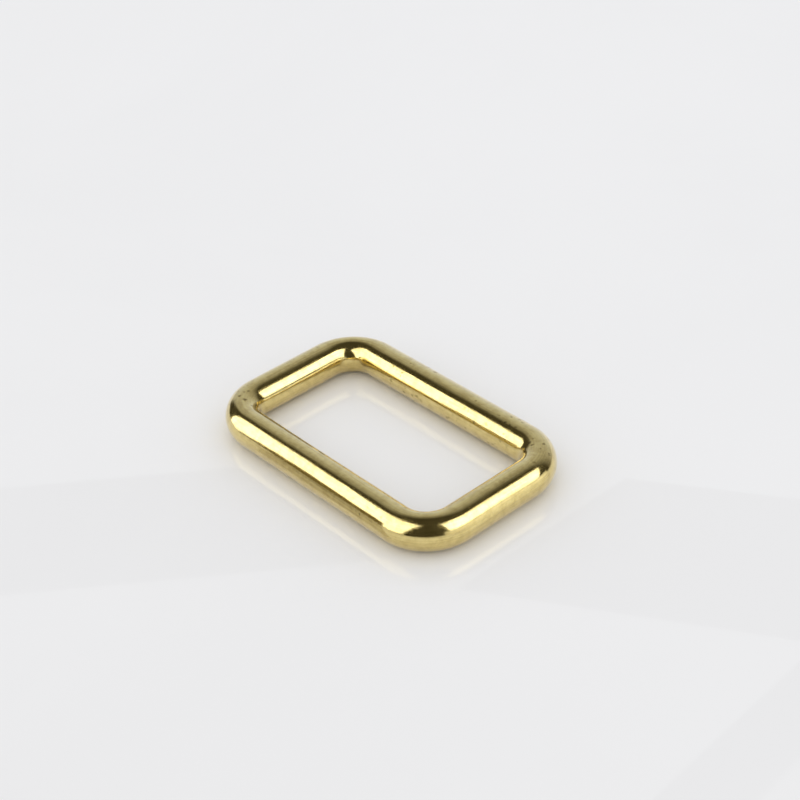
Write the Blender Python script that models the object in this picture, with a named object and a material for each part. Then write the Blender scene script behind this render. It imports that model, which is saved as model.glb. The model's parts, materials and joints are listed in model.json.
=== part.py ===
"""Rectangular strap slider ring, cast in one piece from brass and polished.

The ring lies flat, with +X along its long bars, +Y along its short bars and +Z up.
The origin is at the middle of the opening, on the surface that the ring lies on.
"""

import math

import bmesh
import bpy
from mathutils import Matrix, Vector

MM = 0.001

# Driving dimensions, in metres
STRAP_WIDTH = 25.0 * MM            # the opening along X, which takes the strap's width
OPENING_DEPTH = 13.0 * MM          # the opening along Y, between the two long bars
BAR_WIDTH = 3.75 * MM              # the bar across its section, in the ring's plane
BAR_HEIGHT = 3.7 * MM              # the bar from its underside to its top
INNER_CORNER_RADIUS = 1.7 * MM     # round in each corner of the opening
OUTER_CORNER_RADIUS = 6.0 * MM     # round on each outer corner of the ring

# Facets: a multiple of 4 puts a flat on the underside, the top and both sides of the bar
SECTION_SIDES = 24
CORNER_STEPS = 8
SHARP_ANGLE = math.radians(40.0)

# Polished brass
BRASS_COLOUR = (0.80, 0.62, 0.30, 1.0)
BRASS_ROUGHNESS = 0.14
BRASS_METALLIC = 1.0


def clear_scene():
    for scene_object in list(bpy.data.objects):
        bpy.data.objects.remove(scene_object, do_unlink=True)


def metal(name, colour, roughness, metallic):
    material = bpy.data.materials.new(name)
    material.use_nodes = True
    shader = material.node_tree.nodes["Principled BSDF"]
    shader.inputs["Base Color"].default_value = colour
    shader.inputs["Roughness"].default_value = roughness
    shader.inputs["Metallic"].default_value = metallic
    return material


def corner_point(half_length, half_width, radius, quadrant, angle):
    """A point on the rounded corner of a rectangle, by the direction it faces."""
    side_x, side_y = quadrant
    centre = Vector((side_x * (half_length - radius), side_y * (half_width - radius), 0.0))
    return centre + radius * Vector((math.cos(angle), math.sin(angle), 0.0))


def stations():
    """The bar's inner and outer edge points, pair by pair, once round the ring."""
    inner_half = (STRAP_WIDTH / 2, OPENING_DEPTH / 2)
    outer_half = (STRAP_WIDTH / 2 + BAR_WIDTH, OPENING_DEPTH / 2 + BAR_WIDTH)
    quadrants = ((1, 1), (-1, 1), (-1, -1), (1, -1))
    for turn, quadrant in enumerate(quadrants):
        for step in range(CORNER_STEPS + 1):
            angle = (turn + step / CORNER_STEPS) * math.pi / 2
            inner = corner_point(*inner_half, INNER_CORNER_RADIUS, quadrant, angle)
            outer = corner_point(*outer_half, OUTER_CORNER_RADIUS, quadrant, angle)
            yield inner, outer


def section_loop(bm, inner, outer):
    """One elliptical section of the bar, standing between its inner and outer edge."""
    across = (outer - inner) / 2
    up = Vector((0.0, 0.0, BAR_HEIGHT / 2))
    along = up.cross(across).normalized()
    centre = (inner + outer) / 2 + up
    place = Matrix((across, up, along)).transposed().to_4x4()
    place.translation = centre
    half_side = math.pi / SECTION_SIDES
    circle = bmesh.ops.create_circle(
        bm,
        segments=SECTION_SIDES,
        radius=1.0 / math.cos(half_side),
        matrix=place @ Matrix.Rotation(half_side, 4, "Z"),
    )
    corners = set(circle["verts"])
    return [edge for edge in bm.edges if corners.issuperset(edge.verts)]


def cast_ring():
    """The whole ring: sections bridged one to the next, and the last to the first."""
    bm = bmesh.new()
    loops = [section_loop(bm, inner, outer) for inner, outer in stations()]
    for loop, next_loop in zip(loops, loops[1:] + loops[:1]):
        bmesh.ops.bridge_loops(bm, edges=loop + next_loop)
    bmesh.ops.recalc_face_normals(bm, faces=bm.faces)
    mesh = bpy.data.meshes.new("cast_ring")
    bm.to_mesh(mesh)
    bm.free()
    mesh.shade_smooth()
    mesh.set_sharp_from_angle(angle=SHARP_ANGLE)
    mesh.materials.append(metal("polished_brass", BRASS_COLOUR, BRASS_ROUGHNESS, BRASS_METALLIC))
    ring = bpy.data.objects.new("cast_ring", mesh)
    bpy.context.collection.objects.link(ring)
    return ring


clear_scene()
cast_ring()
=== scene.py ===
"""A rectangular strap slider ring in polished brass, lying on a pale studio table.

The packed ring sets every outside size and the size of the opening. This file makes its fine
surface: the polished bar with its soft hand-finished waves, the fine lines left by the
polishing wheel, and the small pits that a casting keeps.
"""

import json
import math

import bmesh
import bpy
from mathutils import Matrix, Vector, noise


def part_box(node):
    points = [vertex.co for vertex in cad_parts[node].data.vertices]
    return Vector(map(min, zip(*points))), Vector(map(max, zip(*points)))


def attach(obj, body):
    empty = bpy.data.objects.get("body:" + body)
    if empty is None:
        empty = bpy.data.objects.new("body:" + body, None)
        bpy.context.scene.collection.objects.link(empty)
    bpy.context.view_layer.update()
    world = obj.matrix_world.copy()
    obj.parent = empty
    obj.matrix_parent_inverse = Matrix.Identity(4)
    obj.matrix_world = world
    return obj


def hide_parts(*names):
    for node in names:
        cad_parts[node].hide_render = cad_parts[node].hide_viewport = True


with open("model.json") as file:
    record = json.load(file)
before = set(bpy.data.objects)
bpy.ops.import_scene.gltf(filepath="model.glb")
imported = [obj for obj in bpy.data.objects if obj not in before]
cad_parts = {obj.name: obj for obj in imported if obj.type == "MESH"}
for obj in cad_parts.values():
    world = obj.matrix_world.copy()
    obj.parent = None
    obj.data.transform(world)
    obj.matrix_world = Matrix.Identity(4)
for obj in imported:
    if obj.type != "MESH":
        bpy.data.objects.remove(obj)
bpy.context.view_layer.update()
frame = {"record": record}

bl_info = {
    "name": "Brass Strap Ring",
    "version": (1, 0, 0),
    "blender": (4, 5, 0),
    "location": "3D View > Sidebar > Strap Ring",
    "description": "Builds a cast and polished brass strap ring, with a table and lamps to show it on",
    "category": "Add Mesh",
}

# Lengths are in metres, except where a name or a comment says millimetres.
MM = 0.001
RING_NODE = "cast_ring"
RING_PIECE = "polished_ring"


# ---------------------------------------------------------------- sizes from the packed ring


def mount_point(name):
    """Where the packed ring says that one of its mounts is."""
    for mount in frame["record"]["mounts"]:
        if mount["name"] == name:
            return Vector(mount["pos_m"])
    raise RuntimeError(f"the packed ring has no mount named {name}")


RING_LOW, RING_HIGH = (Vector(corner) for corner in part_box(RING_NODE))
RING_LENGTH = RING_HIGH.x - RING_LOW.x
RING_WIDTH = RING_HIGH.y - RING_LOW.y
BAR_HEIGHT = RING_HIGH.z - RING_LOW.z
BAR_WIDTH = mount_point("front_strap_bar").y - RING_LOW.y
TABLE_Z = RING_LOW.z


# ---------------------------------------------------------------- the finish of the brass

# A burnished skin lies over the metal, and is missing inside the pits.
BURNISH = 0.8
BURNISH_ROUGHNESS = 0.05

# Handling marks, which dull and roughen the polish
MARKS_PER_MM = 1.3
CLEAN_ROUGHNESS = 0.07
MARKED_ROUGHNESS = 0.15
MARKS_TONE = 0.7
MARKS_RANGE = (0.38, 0.68)         # below it a surface is clean, above it fully marked

# Lines left by the polishing wheel
LINES_PER_MM = (0.16, 6.0, 1.0)    # along the bar, round the bar, and unused
LINES_RANGE = (0.40, 0.64)         # below it a line is clean brass, above it dull brass
LINES_TONE = 0.55
LINES_ROUGHNESS = 0.06

# Pits that the casting keeps
PITS_PER_MM = 1.6
SMALLEST_PIT = 0.3                 # against the largest one
PIT_RIM = (0.16, 0.46)             # where a pit's floor ends, and where clean metal begins
PIT_CHANCE = (0.25, 0.45)          # a pit is left out below it, and whole above it
PIT_RAGGEDNESS = 0.45              # how far a pit's outline wanders, in millimetres
PIT_RAGS_PER_MM = 5.0
PIT_TONE = 0.8
PIT_ROUGHNESS = 0.08
PIT_SKIN_EDGE = 0.6                # how far into a pit the burnished skin reaches
PATCH_FADE = 3                     # pits start to thin out at a patch's reach divided by this
CASTING_PATCHES = (
    # middle of each pitted patch, then its reach, in millimetres
    (6.5, 8.6, 3.2, 5.0),
    (13.2, 6.6, 3.4, 3.4),
    (2.8, 6.6, 1.4, 2.6),
    (-4.6, 7.6, 3.2, 4.2),
    (-13.6, -7.4, 3.4, 3.0),
    (-15.8, 3.2, 1.6, 3.2),
    (8.6, -9.8, 1.0, 3.6),
)

# Relief, where the grain and the pits are shares of the height of the lines
LINE_HEIGHT = 0.008 * MM
GRAIN_HEIGHT = 0.15
GRAINS_PER_MM = 5.0
PIT_DEPTH = 0.25

# Short polishing waves, which lie over the long ones
SHORT_WAVES = 2.7                  # in the length of one long wave
SHORT_WAVE_HEIGHT = 0.35           # against a long wave
SHORT_WAVE_START = Vector((5.1, 0.0, 2.3))


# ---------------------------------------------------------------- the studio

TABLE_RADIUS = 2.5
TABLE_SIDES = 96
TABLE_GAP = 0.01 * MM              # the ring stands clear of the table by this much
TABLE_GLOSS = 0.065                # share of gloss over the matt surface
TABLE_MARKS_PER_MM = 0.012
TABLE_ROUGHNESS = (0.10, 0.16)     # where it is clean, and where it is marked
TABLE_MARKS_SHADE = 0.985
DAYLIGHT = (0.945, 0.945, 0.945)

WHITE = (1.0, 1.0, 1.0)
# The colour of the sheet of painted shade on the table
PAINTED_SHADE_CREAM = (1.0, 0.96, 0.88)
# The colour of the card of painted reflection in front of the ring
PAINTED_REFLECTION_BROWN = (1.0, 0.77, 0.33)
EDGE_SHARE = 0.75                  # how bright the edge of a soft box is against its middle
SOFT_BOXES = {
    # share of the lamp strength, how bright the cloth's edge is against its middle, colour, then
    # the foot and the top of each pole that holds the cloth, in millimetres from the ring's middle
    "left_soft_box": (1.0, EDGE_SHARE, WHITE, (
        ((-258, -106, 1), (-222, -70, 138)),
        ((-100, -108, 4), (-62, -25, 70)),
        ((20, -111, 8), (32, -44, 89)),
    )),
    "right_soft_box": (1.15, EDGE_SHARE, WHITE, (
        ((800, -90, 187), (335, -62, 735)),
        ((631, 529, 240), (205, 509, 522)),
    )),
    "right_bounce_card": (0.43, EDGE_SHARE, WHITE, (
        ((47, -16, 0), (47, -16, 13)),
        ((43, 50, 0), (43, 50, 13)),
    )),
    # Painted shade: a dim cream sheet lying on the table in front of the ring, seen only in the brass,
    # which darkens the table's reflection there
    "low_shade_card": (0.145, 1.5, PAINTED_SHADE_CREAM, (
        ((-9, -11.5, 0.3), (-31, -40, 0.3)),
        ((11, -11.5, 0.3), (-11, -40, 0.3)),
    )),
    "low_bounce_sheet": (0.385, 0.80, WHITE, (
        ((19, -9, 0.3), (45, 7, 0.3)),
        ((19, 13, 0.3), (44, 29, 0.3)),
    )),
    # Painted reflection: a dim brown card standing in front of the ring, seen only in the brass, which
    # paints a dark brown band just below the front bar's highlight
    "low_brown_card": (0.065, EDGE_SHARE, PAINTED_REFLECTION_BROWN, (
        ((-39, -40, 0), (-35, -44, 14)),
        ((-14, -48, 0), (-14, -48, 14)),
    )),
}
CLOTH_MIDDLE = (0.5, 0.5, 0.0)
CLOTH_FALLOFF = (0.1, 0.7)         # how far from its middle a cloth starts and stops changing

SWEEP_DIRECTION = Vector((-0.68, 0.733, 0.0))
SWEEP_COLOURS = (
    # how squarely the brass looks along the sweep's direction, and what it sees there
    (0.38, (0.052, 0.046, 0.028)),
    (0.64, (0.41, 0.41, 0.405)),
    (0.82, (0.56, 0.58, 0.61)),
    (0.96, (0.70, 0.74, 0.82)),
)
ROOM_COLOUR = SWEEP_COLOURS[0][1]
# Towards this side the sweep has ended, and the brass sees the dim room.
SWEEP_END_DIRECTION = Vector((-0.139, -0.990, 0.0))
SWEEP_END_BLUR = 0.06

SENSOR_WIDTH = 36.0                # in millimetres, as the lens is
NEAREST_SEEN = 1.0 * MM
FARTHEST_SEEN = 10.0


# ---------------------------------------------------------------- settings


class RingSettings(bpy.types.PropertyGroup):
    """The shape of the ring's bar, and how finely it is built."""

    inner_corner_radius: bpy.props.FloatProperty(
        name="Inner corner radius",
        description="Round in each corner of the opening",
        default=1.7 * MM,
        min=0.1 * MM,
        unit="LENGTH",
        precision=5,
    )
    outer_corner_radius: bpy.props.FloatProperty(
        name="Outer corner radius",
        description="Round on each outer corner of the ring",
        default=6.0 * MM,
        min=0.1 * MM,
        unit="LENGTH",
        precision=5,
    )
    section_sides: bpy.props.IntProperty(
        name="Section sides",
        description="Faces round the bar",
        default=128,
        min=16,
    )
    corner_steps: bpy.props.IntProperty(
        name="Corner steps",
        description="Faces along each quarter turn",
        default=44,
        min=4,
    )
    bar_step: bpy.props.FloatProperty(
        name="Bar step",
        description="Length of one face along the straight bars",
        default=0.3 * MM,
        min=0.05 * MM,
        unit="LENGTH",
        precision=5,
    )
    wave_height: bpy.props.FloatProperty(
        name="Wave height",
        description="How far hand polishing leaves the bar off its true round",
        default=0.011 * MM,
        min=0.0,
        unit="LENGTH",
        precision=6,
    )
    wave_length: bpy.props.FloatProperty(
        name="Wave length",
        description="Distance from one polishing wave to the next",
        default=2.6 * MM,
        min=0.1 * MM,
        unit="LENGTH",
        precision=5,
    )


class FinishSettings(bpy.types.PropertyGroup):
    """The colours and the polish of the brass, and the look of the table."""

    brass_colour: bpy.props.FloatVectorProperty(
        name="Brass",
        description="Clean polished brass",
        subtype="COLOR",
        size=3,
        default=(0.80, 0.65, 0.26),
        min=0.0,
        max=1.0,
    )
    dull_colour: bpy.props.FloatVectorProperty(
        name="Dull brass",
        description="Brass that has begun to tone",
        subtype="COLOR",
        size=3,
        default=(0.62, 0.48, 0.17),
        min=0.0,
        max=1.0,
    )
    pit_colour: bpy.props.FloatVectorProperty(
        name="Pits",
        description="Polish and oxide that stay in the casting pits",
        subtype="COLOR",
        size=3,
        default=(0.16, 0.11, 0.04),
        min=0.0,
        max=1.0,
    )
    table_colour: bpy.props.FloatVectorProperty(
        name="Table",
        description="The pale table top",
        subtype="COLOR",
        size=3,
        default=(0.93, 0.93, 0.94),
        min=0.0,
        max=1.0,
    )


class StudioSettings(bpy.types.PropertyGroup):
    """Where the camera stands, and how bright the lamps are."""

    camera_azimuth: bpy.props.FloatProperty(
        name="Camera azimuth",
        description="Turn of the camera round the ring, from the front",
        default=math.radians(49.46),
        subtype="ANGLE",
    )
    camera_elevation: bpy.props.FloatProperty(
        name="Camera elevation",
        description="Height of the camera above the table, as an angle",
        default=math.radians(35.03),
        subtype="ANGLE",
    )
    camera_roll: bpy.props.FloatProperty(
        name="Camera roll",
        description="Tilt of the camera to its right",
        default=math.radians(3.4),
        subtype="ANGLE",
    )
    camera_distance: bpy.props.FloatProperty(
        name="Camera distance",
        description="From the camera to the point that it aims at",
        default=175.4 * MM,
        unit="LENGTH",
        precision=4,
    )
    camera_aim: bpy.props.FloatVectorProperty(
        name="Camera aim",
        description="The point on the table that the camera aims at",
        subtype="XYZ",
        size=3,
        default=(-5.6 * MM, 6.7 * MM, 0.0),
        unit="LENGTH",
    )
    camera_lens: bpy.props.FloatProperty(
        name="Lens",
        description="Focal length",
        default=77.9,
        unit="CAMERA",
    )
    lamp_strength: bpy.props.FloatProperty(
        name="Lamp strength",
        description="Brightness that the soft boxes and the cards take their shares of",
        default=2.7,
        min=0.0,
    )


SETTING_GROUPS = {
    "strap_ring_shape": RingSettings,
    "strap_ring_finish": FinishSettings,
    "strap_ring_studio": StudioSettings,
}


# ---------------------------------------------------------------- shader helpers


def new_material(name):
    """An empty node material with its output node."""
    material = bpy.data.materials.new(name)
    material.use_nodes = True
    material.node_tree.nodes.clear()
    output = material.node_tree.nodes.new("ShaderNodeOutputMaterial")
    return material, material.node_tree, output


def math_node(tree, operation, *values):
    """Works out one step of arithmetic; each value is a socket or a number."""
    node = tree.nodes.new("ShaderNodeMath")
    node.operation = operation
    for socket, value in zip(node.inputs, values):
        if isinstance(value, bpy.types.NodeSocket):
            tree.links.new(value, socket)
        else:
            socket.default_value = value
    return node.outputs["Value"]


def range_node(tree, value, from_range, to_range=(0.0, 1.0), interpolation="SMOOTHSTEP"):
    """Maps a value from one range to another, and keeps it inside."""
    node = tree.nodes.new("ShaderNodeMapRange")
    node.interpolation_type = interpolation
    node.inputs["From Min"].default_value, node.inputs["From Max"].default_value = from_range
    node.inputs["To Min"].default_value, node.inputs["To Max"].default_value = to_range
    tree.links.new(value, node.inputs["Value"])
    return node.outputs["Result"]


def noise_node(tree, vector, scale, detail, roughness):
    """Cloudy noise between 0 and 1."""
    node = tree.nodes.new("ShaderNodeTexNoise")
    node.inputs["Scale"].default_value = scale
    node.inputs["Detail"].default_value = detail
    node.inputs["Roughness"].default_value = roughness
    tree.links.new(vector, node.inputs["Vector"])
    return node.outputs["Fac"]


def mix_colour(tree, factor, first, second):
    """Mixes two colours by a mask; each colour is a socket or a fixed colour."""
    node = tree.nodes.new("ShaderNodeMix")
    node.data_type = "RGBA"
    tree.links.new(factor, node.inputs["Factor"])
    for socket, value in ((node.inputs["A"], first), (node.inputs["B"], second)):
        if isinstance(value, bpy.types.NodeSocket):
            tree.links.new(value, socket)
        else:
            socket.default_value = (*value, 1.0)
    return node.outputs["Result"]


def scaled_coordinates(tree, output, scale):
    """One of the piece's own sets of coordinates, multiplied by a scale."""
    coordinates = tree.nodes.new("ShaderNodeTexCoord")
    mapping = tree.nodes.new("ShaderNodeMapping")
    mapping.inputs["Scale"].default_value = scale
    tree.links.new(coordinates.outputs[output], mapping.inputs["Vector"])
    return mapping.outputs["Vector"]


def millimetres(tree):
    """Places on the piece, in millimetres from its origin."""
    return scaled_coordinates(tree, "Object", (1.0 / MM, 1.0 / MM, 1.0 / MM))


# ---------------------------------------------------------------- materials


def handling_marks_group():
    """Cloudy marks left by hands and cloths: a mask, and a roughness that goes with it."""
    name = "Handling marks"
    if name in bpy.data.node_groups:
        return bpy.data.node_groups[name]
    group = bpy.data.node_groups.new(name, "ShaderNodeTree")
    face = group.interface
    face.new_socket("Vector", in_out="INPUT", socket_type="NodeSocketVector")
    for label, default in (("Scale", 1.0), ("Clean roughness", 0.1), ("Marked roughness", 0.2)):
        socket = face.new_socket(label, in_out="INPUT", socket_type="NodeSocketFloat")
        socket.default_value = default
    face.new_socket("Mask", in_out="OUTPUT", socket_type="NodeSocketFloat")
    face.new_socket("Roughness", in_out="OUTPUT", socket_type="NodeSocketFloat")
    entry = group.nodes.new("NodeGroupInput")
    leave = group.nodes.new("NodeGroupOutput")
    cloud = group.nodes.new("ShaderNodeTexNoise")
    cloud.inputs["Detail"].default_value = 5.0
    cloud.inputs["Roughness"].default_value = 0.62
    cloud.inputs["Distortion"].default_value = 0.4
    group.links.new(entry.outputs["Vector"], cloud.inputs["Vector"])
    group.links.new(entry.outputs["Scale"], cloud.inputs["Scale"])
    mask = range_node(group, cloud.outputs["Fac"], MARKS_RANGE)
    blend = group.nodes.new("ShaderNodeMix")
    blend.data_type = "FLOAT"
    group.links.new(mask, blend.inputs["Factor"])
    group.links.new(entry.outputs["Clean roughness"], blend.inputs["A"])
    group.links.new(entry.outputs["Marked roughness"], blend.inputs["B"])
    group.links.new(mask, leave.inputs["Mask"])
    group.links.new(blend.outputs["Result"], leave.inputs["Roughness"])
    return group


def handling_marks(tree, vector, scale, clean, marked):
    """Handling marks with a material's own scale and roughness."""
    node = tree.nodes.new("ShaderNodeGroup")
    node.node_tree = handling_marks_group()
    tree.links.new(vector, node.inputs["Vector"])
    node.inputs["Scale"].default_value = scale
    node.inputs["Clean roughness"].default_value = clean
    node.inputs["Marked roughness"].default_value = marked
    return node.outputs["Mask"], node.outputs["Roughness"]


def near_patches(tree, vector):
    """1 in the middle of each pitted patch, fading to 0 at its reach."""
    total = 0.0
    for *middle, reach in CASTING_PATCHES:
        away = tree.nodes.new("ShaderNodeVectorMath")
        away.operation = "DISTANCE"
        tree.links.new(vector, away.inputs[0])
        away.inputs[1].default_value = middle
        near = range_node(tree, away.outputs["Value"], (reach / PATCH_FADE, reach), (1.0, 0.0))
        total = math_node(tree, "MAXIMUM", near, total)
    return total


def casting_pits(tree, vector):
    """Ragged pits of mixed sizes in a few patches: 1 inside a pit, 0 on clean metal."""
    ragged = tree.nodes.new("ShaderNodeTexNoise")
    ragged.inputs["Scale"].default_value = PIT_RAGS_PER_MM
    tree.links.new(vector, ragged.inputs["Vector"])
    shift = tree.nodes.new("ShaderNodeVectorMath")
    shift.operation = "MULTIPLY_ADD"
    tree.links.new(ragged.outputs["Color"], shift.inputs[0])
    shift.inputs[1].default_value = (PIT_RAGGEDNESS, PIT_RAGGEDNESS, PIT_RAGGEDNESS)
    tree.links.new(vector, shift.inputs[2])
    cells = tree.nodes.new("ShaderNodeTexVoronoi")
    cells.inputs["Scale"].default_value = PITS_PER_MM
    tree.links.new(shift.outputs["Vector"], cells.inputs["Vector"])
    chance = tree.nodes.new("ShaderNodeSeparateColor")
    tree.links.new(cells.outputs["Color"], chance.inputs["Color"])
    size = range_node(tree, chance.outputs["Red"], (0.0, 1.0), (SMALLEST_PIT, 1.0), "LINEAR")
    reach = math_node(tree, "DIVIDE", cells.outputs["Distance"], size)
    dots = range_node(tree, reach, PIT_RIM, (1.0, 0.0))
    kept = range_node(tree, chance.outputs["Green"], PIT_CHANCE)
    near = math_node(tree, "MULTIPLY", kept, near_patches(tree, vector))
    return math_node(tree, "MULTIPLY", dots, near)


def polished_brass(finish):
    """Cast brass, polished by wheel: fine lines along the bar, cloudy marks and a few pits."""
    material, tree, output = new_material("Polished brass")
    shader = tree.nodes.new("ShaderNodeBsdfPrincipled")
    shader.inputs["Metallic"].default_value = 1.0
    shader.inputs["Coat Roughness"].default_value = BURNISH_ROUGHNESS
    tree.links.new(shader.outputs["BSDF"], output.inputs["Surface"])

    body = millimetres(tree)
    along_bar = scaled_coordinates(tree, "UV", LINES_PER_MM)
    marks, roughness = handling_marks(tree, body, MARKS_PER_MM, CLEAN_ROUGHNESS, MARKED_ROUGHNESS)
    pits = casting_pits(tree, body)
    lines = noise_node(tree, along_bar, scale=1.0, detail=4.0, roughness=0.65)

    marks_tone = math_node(tree, "MULTIPLY", marks, MARKS_TONE)
    dull_lines = range_node(tree, lines, LINES_RANGE)
    tone = math_node(tree, "MULTIPLY_ADD", dull_lines, LINES_TONE, marks_tone)
    toned = mix_colour(tree, tone, finish.brass_colour, finish.dull_colour)
    pit_tone = math_node(tree, "MULTIPLY", pits, PIT_TONE)
    colour = mix_colour(tree, pit_tone, toned, finish.pit_colour)
    tree.links.new(colour, shader.inputs["Base Color"])

    skin = range_node(tree, pits, (0.0, PIT_SKIN_EDGE), (BURNISH, 0.0), "LINEAR")
    tree.links.new(skin, shader.inputs["Coat Weight"])
    lined = math_node(tree, "MULTIPLY_ADD", lines, LINES_ROUGHNESS, roughness)
    pitted = math_node(tree, "MULTIPLY_ADD", pits, PIT_ROUGHNESS, lined)
    tree.links.new(pitted, shader.inputs["Roughness"])

    grain = noise_node(tree, body, scale=GRAINS_PER_MM, detail=3.0, roughness=0.6)
    height = math_node(tree, "MULTIPLY_ADD", grain, GRAIN_HEIGHT, lines)
    depth = math_node(tree, "MULTIPLY", pits, PIT_DEPTH)
    surface = math_node(tree, "SUBTRACT", height, depth)
    bump = tree.nodes.new("ShaderNodeBump")
    bump.inputs["Strength"].default_value = 1.0
    bump.inputs["Distance"].default_value = LINE_HEIGHT
    tree.links.new(surface, bump.inputs["Height"])
    tree.links.new(bump.outputs["Normal"], shader.inputs["Normal"])
    return material


def satin_table_top(finish):
    """A pale, smooth table top, whose low gloss mirrors the ring faintly."""
    material, tree, output = new_material("Satin table top")
    matt = tree.nodes.new("ShaderNodeBsdfDiffuse")
    gloss = tree.nodes.new("ShaderNodeBsdfGlossy")
    blend = tree.nodes.new("ShaderNodeMixShader")
    blend.inputs["Fac"].default_value = TABLE_GLOSS
    tree.links.new(matt.outputs["BSDF"], blend.inputs[1])
    tree.links.new(gloss.outputs["BSDF"], blend.inputs[2])
    tree.links.new(blend.outputs["Shader"], output.inputs["Surface"])
    marks, roughness = handling_marks(tree, millimetres(tree), TABLE_MARKS_PER_MM, *TABLE_ROUGHNESS)
    darker = [channel * TABLE_MARKS_SHADE for channel in finish.table_colour]
    tree.links.new(mix_colour(tree, marks, finish.table_colour, darker), matt.inputs["Color"])
    tree.links.new(roughness, gloss.inputs["Roughness"])
    return material


def lamp_cloth(name, colour, strength, edge_share):
    """The glowing front of a soft box or a card, whose edge may differ from its middle."""
    material, tree, output = new_material(name)
    glow = tree.nodes.new("ShaderNodeEmission")
    glow.inputs["Color"].default_value = (*colour, 1.0)
    coordinates = tree.nodes.new("ShaderNodeTexCoord")
    centred = tree.nodes.new("ShaderNodeVectorMath")
    centred.operation = "SUBTRACT"
    centred.inputs[1].default_value = CLOTH_MIDDLE
    tree.links.new(coordinates.outputs["UV"], centred.inputs[0])
    from_middle = tree.nodes.new("ShaderNodeVectorMath")
    from_middle.operation = "LENGTH"
    tree.links.new(centred.outputs["Vector"], from_middle.inputs[0])
    falloff = range_node(tree, from_middle.outputs["Value"], CLOTH_FALLOFF, (1.0, edge_share))
    tree.links.new(math_node(tree, "MULTIPLY", falloff, strength), glow.inputs["Strength"])
    tree.links.new(glow.outputs["Emission"], output.inputs["Surface"])
    return material


# ---------------------------------------------------------------- the ring


def corner_point(half_length, half_width, radius, quadrant, angle):
    """A point on the rounded corner of a rectangle, by the direction it faces."""
    side_x, side_y = quadrant
    centre = Vector((side_x * (half_length - radius), side_y * (half_width - radius), 0.0))
    return centre + radius * Vector((math.cos(angle), math.sin(angle), 0.0))


def edge_pairs(shape):
    """Points on the bar's inner and outer edge, pair by pair, once round the ring."""
    outer_half = (RING_LENGTH / 2, RING_WIDTH / 2)
    inner_half = (outer_half[0] - BAR_WIDTH, outer_half[1] - BAR_WIDTH)
    quadrants = ((1, 1), (-1, 1), (-1, -1), (1, -1))
    corners = []
    for turn, quadrant in enumerate(quadrants):
        for step in range(shape.corner_steps + 1):
            angle = (turn + step / shape.corner_steps) * math.pi / 2
            corners.append((
                corner_point(*inner_half, shape.inner_corner_radius, quadrant, angle),
                corner_point(*outer_half, shape.outer_corner_radius, quadrant, angle),
            ))
    pairs = []
    for index, (inner, outer) in enumerate(corners):
        pairs.append((inner, outer))
        next_inner, next_outer = corners[(index + 1) % len(corners)]
        steps = round((next_inner - inner).length / shape.bar_step)
        for step in range(1, steps):
            share = step / steps
            pairs.append((inner.lerp(next_inner, share), outer.lerp(next_outer, share)))
    return pairs


def polishing_wave(point, shape):
    """How far the surface stands off its true shape, as soft waves of two lengths."""
    place = point / shape.wave_length
    long_wave = noise.noise(place)
    short_wave = noise.noise(place * SHORT_WAVES + SHORT_WAVE_START)
    return shape.wave_height * (long_wave + SHORT_WAVE_HEIGHT * short_wave)


def section_points(inner, outer, shape):
    """One oval section of the bar, standing between its inner and outer edge."""
    centre = (inner + outer) / 2 + Vector((0.0, 0.0, (RING_LOW.z + RING_HIGH.z) / 2))
    across = (outer - inner) / 2
    up = Vector((0.0, 0.0, BAR_HEIGHT / 2))
    for side in range(shape.section_sides):
        angle = 2 * math.pi * side / shape.section_sides
        outward = across * math.cos(angle) + up * math.sin(angle)
        point = centre + outward
        # The waves only cut inwards, so the ring stays within its outside sizes.
        yield point - outward.normalized() * abs(polishing_wave(point, shape))


def ring_mesh(shape):
    """The bar swept once round, with a map that runs along it and round it in millimetres."""
    pairs = edge_pairs(shape)
    sides = shape.section_sides
    bm = bmesh.new()
    uv_layer = bm.loops.layers.uv.new("along_bar")
    loops = [[bm.verts.new(point) for point in section_points(*pair, shape)] for pair in pairs]
    travelled = [0.0]
    for (inner, outer), (next_inner, next_outer) in zip(pairs, pairs[1:] + pairs[:1]):
        middle_step = ((next_inner + next_outer) - (inner + outer)).length / 2
        travelled.append(travelled[-1] + middle_step)
    girth = math.pi * (BAR_WIDTH + BAR_HEIGHT) / 2
    for index, loop in enumerate(loops):
        next_loop = loops[(index + 1) % len(loops)]
        for side in range(sides):
            other = (side + 1) % sides
            face = bm.faces.new((loop[side], next_loop[side], next_loop[other], loop[other]))
            face.smooth = True
            rows = (travelled[index], travelled[index + 1], travelled[index + 1], travelled[index])
            columns = (side, side, side + 1, side + 1)
            for corner, row, column in zip(face.loops, rows, columns):
                corner[uv_layer].uv = (row / MM, girth * column / sides / MM)
    bmesh.ops.recalc_face_normals(bm, faces=bm.faces)
    mesh = bpy.data.meshes.new(RING_PIECE)
    bm.to_mesh(mesh)
    bm.free()
    return mesh


class STRAPRING_OT_ring(bpy.types.Operator):
    """Build the polished brass ring in place of the packed one"""

    bl_idname = "strapring.ring"
    bl_label = "Brass Ring"
    bl_options = {"REGISTER", "UNDO"}

    def execute(self, context):
        mesh = ring_mesh(context.scene.strap_ring_shape)
        mesh.materials.append(polished_brass(context.scene.strap_ring_finish))
        ring = bpy.data.objects.new(RING_PIECE, mesh)
        context.collection.objects.link(ring)
        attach(ring, "root")
        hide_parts(RING_NODE)
        return {"FINISHED"}


# ---------------------------------------------------------------- the stage


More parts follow.
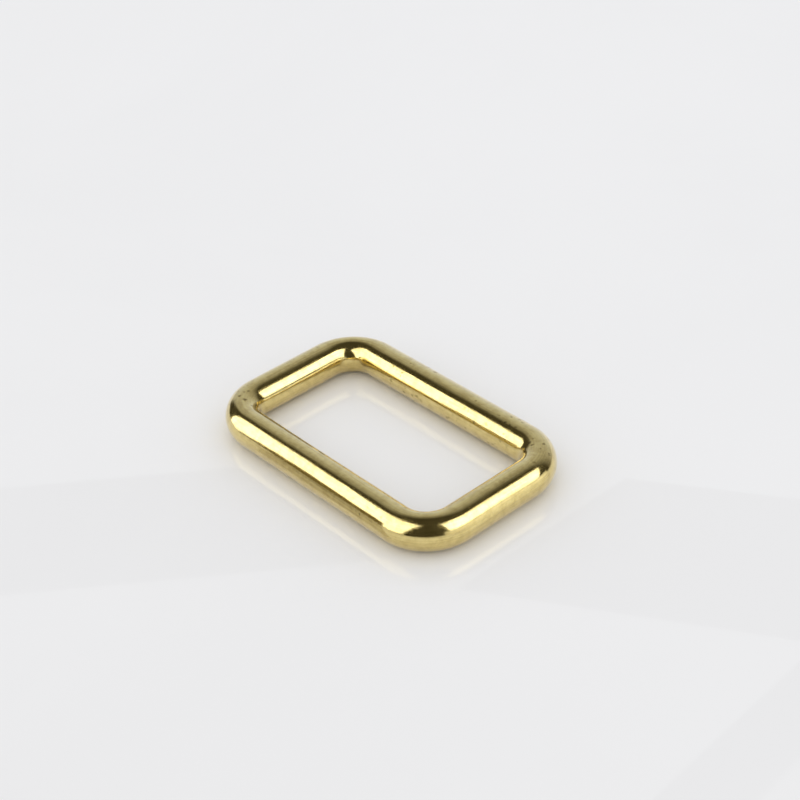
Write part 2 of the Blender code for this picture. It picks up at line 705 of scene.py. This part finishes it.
def table_top(finish):
    """A wide flat table, just under the ring."""
    bm = bmesh.new()
    bmesh.ops.create_circle(bm, cap_ends=True, segments=TABLE_SIDES, radius=TABLE_RADIUS)
    mesh = bpy.data.meshes.new("table_top")
    bm.to_mesh(mesh)
    bm.free()
    mesh.materials.append(satin_table_top(finish))
    table = bpy.data.objects.new("table_top", mesh)
    table.location.z = TABLE_Z - TABLE_GAP
    bpy.context.collection.objects.link(table)


def lit_by_lamps():
    """The collection of pieces that the soft boxes shine on: the ring, and not the table."""
    name = "lit_by_lamps"
    if name not in bpy.data.collections:
        collection = bpy.data.collections.new(name)
        collection.objects.link(bpy.data.objects[RING_PIECE])
    return bpy.data.collections[name]


def soft_box(name, poles, colour, strength, edge_share):
    """A glowing cloth hung between poles, which shines on the ring and isn't seen itself."""
    bm = bmesh.new()
    uv_layer = bm.loops.layers.uv.new("cloth")
    posts = [[bm.verts.new(Vector(end) * MM) for end in pole] for pole in poles]
    for index in range(len(posts) - 1):
        (left_foot, left_top), (right_foot, right_top) = posts[index:index + 2]
        face = bm.faces.new((left_foot, right_foot, right_top, left_top))
        left, right = index / (len(posts) - 1), (index + 1) / (len(posts) - 1)
        for loop, place in zip(face.loops, ((left, 0), (right, 0), (right, 1), (left, 1))):
            loop[uv_layer].uv = place
    mesh = bpy.data.meshes.new(name)
    bm.to_mesh(mesh)
    bm.free()
    mesh.materials.append(lamp_cloth(name + "_cloth", colour, strength, edge_share))
    box = bpy.data.objects.new(name, mesh)
    box.location.z = TABLE_Z
    box.visible_camera = False
    box.visible_diffuse = False
    box.visible_shadow = False
    box.light_linking.receiver_collection = lit_by_lamps()
    bpy.context.collection.objects.link(box)


def along(tree, direction):
    """How squarely a ray that leaves the scene points along a direction."""
    coordinates = tree.nodes.new("ShaderNodeTexCoord")
    node = tree.nodes.new("ShaderNodeVectorMath")
    node.operation = "DOT_PRODUCT"
    tree.links.new(coordinates.outputs["Generated"], node.inputs[0])
    node.inputs[1].default_value = direction
    return node.outputs["Value"]


def studio_air():
    """Even pale light for the table, and a dim room with a pale back sweep for the brass."""
    world = bpy.data.worlds.new("studio_air")
    world.use_nodes = True
    tree = world.node_tree
    tree.nodes.clear()
    output = tree.nodes.new("ShaderNodeOutputWorld")
    sweep = tree.nodes.new("ShaderNodeValToRGB")
    for index, (place, colour) in enumerate(SWEEP_COLOURS):
        stops = sweep.color_ramp.elements
        stop = stops[index] if index < len(stops) else stops.new(place)
        stop.position = place
        stop.color = (*colour, 1.0)
    tree.links.new(along(tree, SWEEP_DIRECTION), sweep.inputs["Fac"])
    from_end = along(tree, SWEEP_END_DIRECTION)
    past_end = range_node(tree, from_end, (-SWEEP_END_BLUR, SWEEP_END_BLUR))
    surroundings = mix_colour(tree, past_end, sweep.outputs["Color"], ROOM_COLOUR)
    even = tree.nodes.new("ShaderNodeBackground")
    even.inputs["Color"].default_value = (*DAYLIGHT, 1.0)
    room = tree.nodes.new("ShaderNodeBackground")
    tree.links.new(surroundings, room.inputs["Color"])
    path = tree.nodes.new("ShaderNodeLightPath")
    blend = tree.nodes.new("ShaderNodeMixShader")
    tree.links.new(path.outputs["Is Glossy Ray"], blend.inputs["Fac"])
    tree.links.new(even.outputs["Background"], blend.inputs[1])
    tree.links.new(room.outputs["Background"], blend.inputs[2])
    tree.links.new(blend.outputs["Shader"], output.inputs["Surface"])
    bpy.context.scene.world = world


def studio_camera(studio):
    """A camera that looks down at the ring from its front right."""
    data = bpy.data.cameras.new("studio_camera")
    data.lens = studio.camera_lens
    data.sensor_width = SENSOR_WIDTH
    data.clip_start = NEAREST_SEEN
    data.clip_end = FARTHEST_SEEN
    camera = bpy.data.objects.new("studio_camera", data)
    azimuth, elevation = studio.camera_azimuth, studio.camera_elevation
    back = Vector((
        math.sin(azimuth) * math.cos(elevation),
        -math.cos(azimuth) * math.cos(elevation),
        math.sin(elevation),
    ))
    aim = Vector(studio.camera_aim)
    aim.z += TABLE_Z
    turn = (-back).to_track_quat("-Z", "Y").to_matrix().to_4x4()
    camera.matrix_world = (
        Matrix.Translation(aim + back * studio.camera_distance)
        @ turn
        @ Matrix.Rotation(-studio.camera_roll, 4, "Z")
    )
    bpy.context.collection.objects.link(camera)
    bpy.context.scene.camera = camera


class STRAPRING_OT_stage(bpy.types.Operator):
    """Lay out the table, the soft boxes and the camera"""

    bl_idname = "strapring.stage"
    bl_label = "Studio Stage"
    bl_options = {"REGISTER", "UNDO"}

    def execute(self, context):
        studio = context.scene.strap_ring_studio
        table_top(context.scene.strap_ring_finish)
        for name, (share, edge_share, colour, poles) in SOFT_BOXES.items():
            soft_box(name, poles, colour, share * studio.lamp_strength, edge_share)
        studio_air()
        studio_camera(studio)
        context.scene.view_settings.view_transform = "Standard"
        return {"FINISHED"}


# ---------------------------------------------------------------- sidebar and registration


class STRAPRING_PT_sidebar(bpy.types.Panel):
    """Lists the ring's operators and settings"""

    bl_idname = "STRAPRING_PT_sidebar"
    bl_label = "Strap Ring"
    bl_space_type = "VIEW_3D"
    bl_region_type = "UI"
    bl_category = "Strap Ring"

    def draw(self, context):
        layout = self.layout
        for operator in OPERATORS:
            layout.operator(operator.bl_idname)
        for attribute, group in SETTING_GROUPS.items():
            settings = getattr(context.scene, attribute)
            box = layout.box()
            box.label(text=group.__doc__)
            for setting in group.__annotations__:
                box.prop(settings, setting)


OPERATORS = (STRAPRING_OT_ring, STRAPRING_OT_stage)
CLASSES = (*SETTING_GROUPS.values(), *OPERATORS, STRAPRING_PT_sidebar)


def register():
    for each in CLASSES:
        bpy.utils.register_class(each)
    for attribute, group in SETTING_GROUPS.items():
        setattr(bpy.types.Scene, attribute, bpy.props.PointerProperty(type=group))


def unregister():
    for attribute in SETTING_GROUPS:
        delattr(bpy.types.Scene, attribute)
    for each in reversed(CLASSES):
        bpy.utils.unregister_class(each)


def main():
    """Builds the ring and its stage."""
    register()
    bpy.ops.strapring.ring()
    bpy.ops.strapring.stage()


if __name__ == "__main__":
    main()
